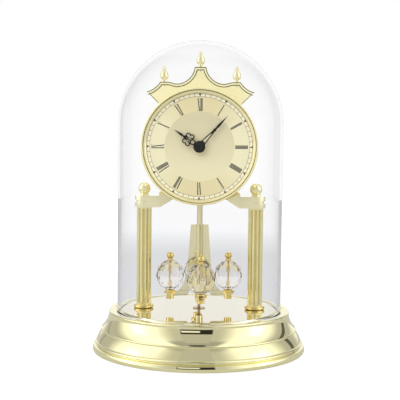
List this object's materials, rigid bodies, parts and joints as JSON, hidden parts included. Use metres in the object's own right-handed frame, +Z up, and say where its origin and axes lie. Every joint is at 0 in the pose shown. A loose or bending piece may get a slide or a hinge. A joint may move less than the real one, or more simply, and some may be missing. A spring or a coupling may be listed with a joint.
{
  "type": "anniversary clock",
  "caption": "Quartz anniversary clock: dial drum on fluted columns over a stepped brass base, with a turning crystal-ball pendulum and a lift-off glass dome.",
  "frame": {"origin": "centre of the base's underside, on the table", "axes": "+Z up along the clock's vertical axis; the dial faces -Y; +X is to the right seen from the front"},
  "size_m": [0.154, 0.154, 0.2233],
  "materials": {
    "base_brass": "polished, lacquered",
    "column_brass": "polished",
    "frame_brass": "polished",
    "bezel_brass": "polished",
    "gold_fittings": "polished, deeper gold",
    "pendulum_brass": "mirror polished",
    "plate_mirror": "gold-tinted mirror",
    "dial_gold": "champagne, brushed sunburst with printed black markings",
    "hand_black": "satin black",
    "screw_steel": "zinc plated",
    "base_cover_board": "matte black",
    "felt": "green felt",
    "case_plastic": "moulded black",
    "washer_rubber": "matte",
    "cell_jacket": "printed foil jacket, plain",
    "board_green": "solder mask",
    "coil_copper": "enamelled copper wire",
    "wheel_plastic": "moulded acetal",
    "magnet_grey": "ground",
    "crystal": "clear cut crystal",
    "dome_glass": "clear blown glass"
  },
  "bodies": {
    "stand": {"base_shell": "base_brass", "base_cover": "base_cover_board", "felt_ring": "felt", "base_screws": "screw_steel", "mirror_plate": "plate_mirror", "guide_bush": "gold_fittings", "column_left": "column_brass", "column_right": "column_brass", "column_collars": "gold_fittings", "column_finials": "frame_brass", "tie_rods": "screw_steel", "tie_rod_washers": "screw_steel", "tie_rod_nuts": "screw_steel", "bridge": "frame_brass", "bridge_screws": "screw_steel", "movement_drum": "frame_brass", "rear_cover": "frame_brass", "rear_cover_screws": "screw_steel", "bezel": "bezel_brass", "dial": "dial_gold", "pediment": "frame_brass", "pediment_screws": "screw_steel", "pediment_finials": "column_brass", "movement_front_case": "case_plastic", "movement_back_case": "case_plastic", "mounting_bush": "gold_fittings", "mounting_nut": "gold_fittings", "mounting_washer": "washer_rubber", "battery": "cell_jacket", "battery_spring_contact": "screw_steel", "battery_plate_contact": "screw_steel", "circuit_board": "board_green", "driver_chip": "case_plastic", "quartz_crystal": "screw_steel", "stator": "screw_steel", "motor_coil": "coil_copper", "pendulum_drive_case": "case_plastic", "pendulum_coil": "coil_copper", "pendulum_bearing": "gold_fittings"},
    "dome": {"glass_dome": "dome_glass"},
    "battery_lid": {"battery_door": "frame_brass"},
    "minute_train": {"centre_wheel": "wheel_plastic", "minute_hand": "hand_black", "hand_cap": "hand_black"},
    "hour_train": {"hour_wheel": "wheel_plastic", "hour_hand": "hand_black"},
    "motion_train": {"motion_wheel": "wheel_plastic", "set_knob": "case_plastic"},
    "intermediate_train": {"intermediate_wheel": "wheel_plastic"},
    "rotor_train": {"rotor": "magnet_grey"},
    "pendulum": {"pendulum_shaft": "screw_steel", "pendulum_magnet": "magnet_grey", "pendulum_rod": "pendulum_brass", "pendulum_tower": "pendulum_brass", "guide_pin": "pendulum_brass", "orb_cups": "gold_fittings", "crystal_orbs": "crystal", "orb_finials": "gold_fittings"}
  },
  "joints": [
    {"name": "dome_lift", "type": "slide", "parent": "stand", "child": "dome", "axis": [0, 0, 1], "range_m": [0, 0.23]},
    {"name": "battery_lid_slide", "type": "slide", "parent": "stand", "child": "battery_lid", "axis": [0, 1, 0], "range_m": [0, 0.015]},
    {"name": "minute_spin", "type": "hinge", "parent": "stand", "child": "minute_train", "pos_m": [0, -0.016, 0.1475], "axis": [0, 1, 0], "continuous": true},
    {"name": "hour_spin", "type": "hinge", "parent": "stand", "child": "hour_train", "pos_m": [0, -0.016, 0.1475], "axis": [0, 1, 0], "continuous": true},
    {"name": "motion_spin", "type": "hinge", "parent": "stand", "child": "motion_train", "pos_m": [-0.00792, -0.009, 0.15542], "axis": [0, 1, 0], "continuous": true},
    {"name": "intermediate_spin", "type": "hinge", "parent": "stand", "child": "intermediate_train", "pos_m": [0.01057, -0.007, 0.15135], "axis": [0, 1, 0], "continuous": true},
    {"name": "rotor_spin", "type": "hinge", "parent": "stand", "child": "rotor_train", "pos_m": [0.01332, -0.006, 0.16161], "axis": [0, 1, 0], "continuous": true},
    {"name": "pendulum_turn", "type": "hinge", "parent": "stand", "child": "pendulum", "pos_m": [0, 0, 0.09], "axis": [0, 0, 1], "range_deg": [-200, 200]}
  ],
  "couplings": [
    {"joint": "hour_spin", "follows": "minute_spin", "ratio": 0.083333},
    {"joint": "motion_spin", "follows": "minute_spin", "ratio": -0.33333},
    {"joint": "intermediate_spin", "follows": "minute_spin", "ratio": -8},
    {"joint": "rotor_spin", "follows": "minute_spin", "ratio": 60}
  ]
}
